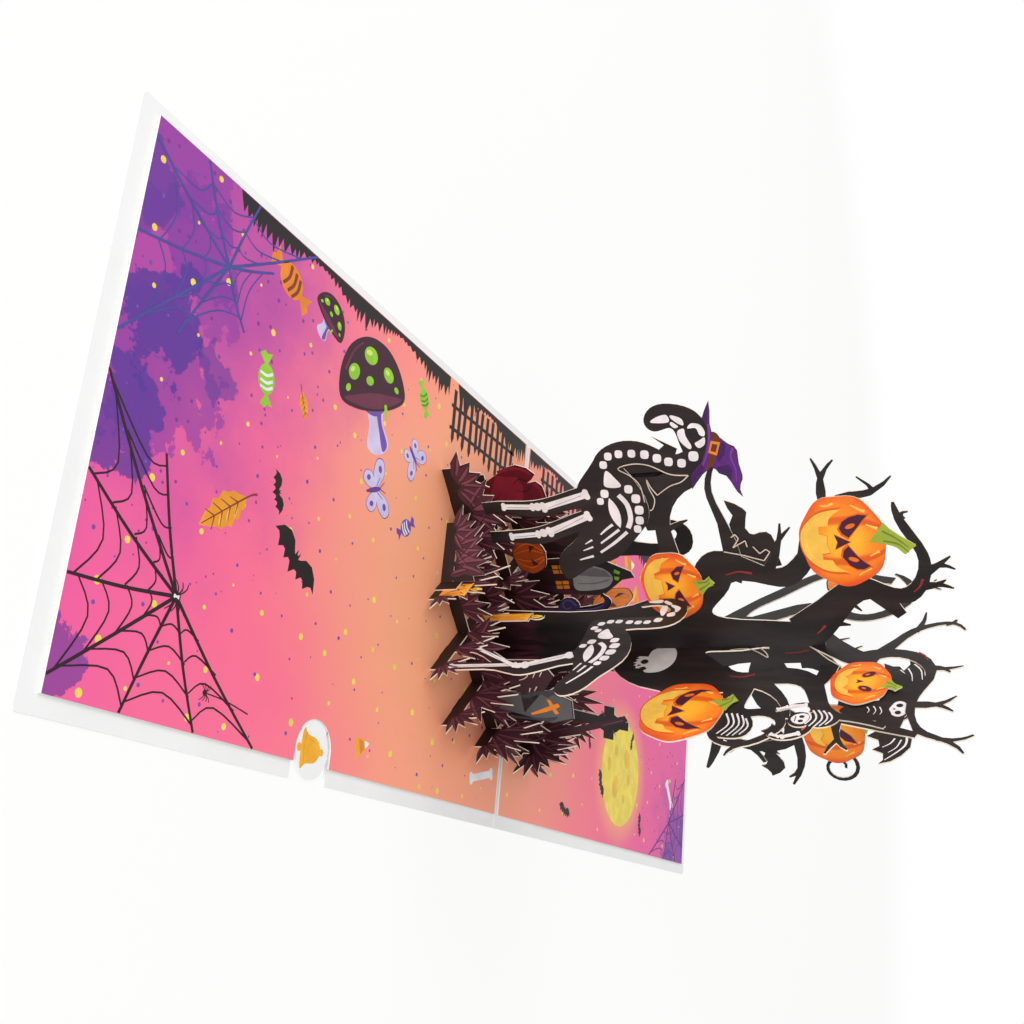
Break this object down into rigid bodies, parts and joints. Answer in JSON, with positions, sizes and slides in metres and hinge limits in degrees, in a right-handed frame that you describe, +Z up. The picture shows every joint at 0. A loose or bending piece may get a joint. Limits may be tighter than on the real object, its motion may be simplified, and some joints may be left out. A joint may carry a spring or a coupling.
{
  "type": "pop up card",
  "caption": "Halloween pop up card lying open: a bare tree of slotted card sheets with birds, pumpkins and grass stands over a printed base with a pull tab.",
  "frame": {"origin": "middle of the fold, on the underside of the cover", "axes": "+Z up out of the open card, +X along the fold towards the pull tab's side, +Y across the fold towards the far panel"},
  "size_m": [0.15, 0.45, 0.1678],
  "materials": {
    "black_card": "matt printed card",
    "orange_card": "matt printed card",
    "printed_card": "matt printed card",
    "grass_card": "matt printed card",
    "cover_card": "smooth card",
    "slip_card": "smooth card",
    "mounting_sheet": "matt",
    "liner_paper": "silk coated print"
  },
  "bodies": {
    "card": {"front_strip_sheet": "black_card", "rear_strip_sheet": "black_card", "middle_sheet": "black_card", "rear_house_sheet": "black_card", "front_fin_sheet": "black_card", "front_bird_sheet": "black_card", "rear_bush_sheet": "black_card", "rear_fin_sheet": "black_card", "front_tree_sheet": "black_card", "cross_tree_sheet": "black_card", "big_pumpkin": "orange_card", "middle_pumpkin": "orange_card", "rear_pumpkin": "orange_card", "lower_pumpkin": "orange_card", "upper_pumpkin": "orange_card", "large_bird": "printed_card", "winged_skeleton": "printed_card", "hanging_skeleton": "printed_card", "left_bat": "black_card", "right_bat": "black_card", "front_clump": "grass_card", "cover": "cover_card", "near_adhesive": "mounting_sheet", "far_adhesive": "mounting_sheet", "near_liner": "liner_paper", "far_liner": "liner_paper"},
    "slip": {"pull_slip": "slip_card"}
  },
  "joints": [
    {"name": "slip_slide", "type": "slide", "parent": "card", "child": "slip", "axis": [1, 0, 0], "range_m": [0, 0.04]}
  ]
}
